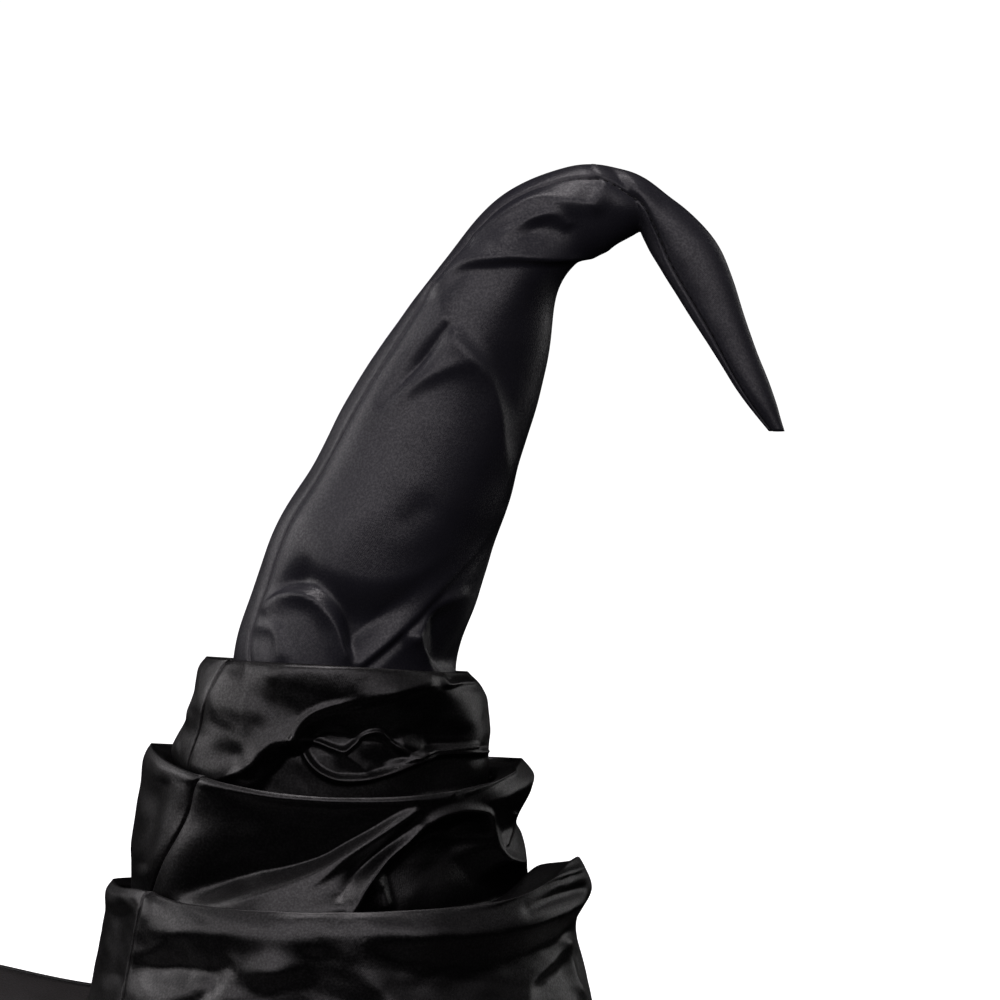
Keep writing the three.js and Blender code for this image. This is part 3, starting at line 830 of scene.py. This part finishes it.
# Peak
# The last length of satin is a long cone with nothing inside it, sewn into the top tuck. It leans over,
# creases where it bends, and its tip hangs down at the right with the seam turned to the front.
PEAK_WALL = [
    PEAK_START,
    Section(-30.5, 182, 51.5, 178, 38, 0, 0),
    Section(-21.5, 206, 57, 197.5, 36.5, 0, 0),
    Section(-10.5, 224, 62.5, 213, 34.5, 0, 0),
    Section(4, 251, 69, 236, 29.5, 0, 0),
    Section(18, 272.5, 75.5, 260.5, 26, 0, 0),
    Section(39, 301, 81, 291, 21, 0, 0),
    Section(59, 324, 90, 302, 17, 0, 0),
    Section(84, 335, 103.5, 307.5, 13.5, 0, -1),
    Section(103.5, 334.5, 109, 311, 11, 0, -3),
    Section(122, 323.5, 111.5, 308, 9, 0, -6),
    Section(138.5, 306.5, 117, 298.5, 7.5, 0, -11),
    Section(149.5, 276.5, 131, 276.5, 5.5, 0, -18),
    Section(160, 248, 149, 249.5, 3.6, 0, -24),
    Section(162.5, 240.7, 156, 240.7, 2.2, 0, -26),
]
PEAK_FOLDS = [
    Hollow(6, [Edge(((-30, 215), (-11.4, 199.6), (-4, 190), (6, 185.5), (17.8, 184), (30, 187.5),
                     (44.5, 197.2), (60, 208), (75, 216)), 18, "soft"),
               Edge(((70, 218), (60, 207), (52, 195), (37, 178), (22.6, 163), (9, 152), (0, 144)),
                    9, "soft"),
               Edge(((-40, 140), (-26, 180), (-12, 204), (-4, 220)), 9, "soft"),
               Edge(((10, 140), (3.2, 156), (-1.2, 169), (-9, 177), (-18.7, 178), (-26, 174), (-34, 160)),
                    3, "crisp")]),
    Fold(((-24.8, 173), (-18.7, 177.2), (-9, 177.2), (-1.2, 169.2), (3.2, 156)),
         (1.5, 2.6, 2.6, 2), 5, 7, 1.6),
    Fold(((-28, 166), (-23, 165), (-20, 156)), (1, 1.4, 1), 4, 5, 1.2),
    Fold(((60, 207), (52, 195), (37, 178), (22.6, 163), (9, 152)), (0.4, 0.7, 1, 1.2), 2.4, 3, 0.6),
    Fold(((58, 203), (50, 191.5), (36, 175), (22, 160), (10, 150)), (0, -0.8, -1.5, -1.5), 3, 5, 0.6),
    Fold(((27.5, 162), (37, 173), (45, 177)), (1.5, 2, 1), 4, 5, 0.8),
    Fold(((27.5, 162), (34.8, 150)), (2, 2), 4, 4, 0.8),
    Fold(((38, 168), (39, 154)), (-4, -5), 8, 8, 2),
    Fold(((25, 204), (31, 208)), (-0.7, -0.7), 8, 8, 3),
    Fold(((50.6, 308), (61.6, 315.6), (73.7, 321.3), (83.4, 320.1), (93.2, 318.9)),
         (1, 1.5, 1.5, 1), 6, 6, 1),
    Fold(((61.6, 307.9), (71.3, 314), (78.6, 315.2), (83.4, 311.6)), (1, 1.5, 1), 4, 4, 0.7),
    Fold(((72, 309), (84, 309)), (-1.6, -1.6), 8, 8, 3),
    Fold(((93.2, 333), (97, 326), (93.2, 319)), (1.2, 1.2, 1), 6, 4, 0.7),
    Fold(((100.5, 332), (106, 325), (109, 319), (110.2, 311)), (-1, -2, -2, -1.5), 3, 6, 0.5),
    Fold(((38, 290), (43.3, 295.8), (59, 299.4), (78.6, 300), (96, 302)), (1.5, 3, 3, 3), 14, 3, 0.7),
    Fold(((38.4, 286), (40.9, 273.9), (46.9, 265.3), (53, 258), (57.2, 245.9), (58.6, 233.7),
          (61.1, 221.6), (58, 207)), (1, 2.6, 2.6, 2.4, 2, 1.5, 1), 7, 20, 0.9),
    Fold(((40, 274), (30, 263), (17, 247.5)), (-2, -2.8, -1), 6, 4, 0.7),
    Fold(((46, 261.5), (39.7, 259.5), (29.9, 254.5), (19, 246)), (0.6, 1.4, 1.4, 0.6), 5, 8, 1),
]
BACK_PEAK_FOLDS = [
    Fold(((30, 265), (40, 240), (52, 210)), (1, 3, 1), 20, 20, 2),
    Fold(((-15, 195), (5, 180), (20, 165)), (1, 3.5, 2), 17.5, 30, 2),
    Fold(((50, 300), (62, 296), (80, 298)), (1, 3, 1), 15, 7.5, 1),
]
peak_sections = [peak_foot] + PEAK_WALL
peak_seam = [222, 210, 204, 203, 204, 206, 206, 206, 208, 217, 243, 285, 312, 308, 316, 312]
peak_outside, peak_inside = cloth(
    peak_sections, peak_seam, rings=270, sides=320, front_folds=PEAK_FOLDS, back_folds=BACK_PEAK_FOLDS,
    seed=13, tucked=False)
# The peak is cut from the same black satin as the tiers, but its base colour is painted about ten times
# paler and a little bluer: a painted sheen and a painted reflection of the pale floor, which is hidden from
# reflections, so that the peak looks evenly lit.
peak_satin_with_painted_sheen = satin("black_satin_of_the_peak", shade=(0.0155, 0.0153, 0.0205), roughness=0.41, gloss=0.35)
peak = cloth_piece("peak_satin_with_painted_sheen", peak_outside, peak_inside, peak_satin_with_painted_sheen, solid_tip=True)
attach(peak, "root")
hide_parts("peak")
peak_stitches = seam_stitches("peak_stitches", peak_outside, first=0.05, last=0.98, thread=thread)
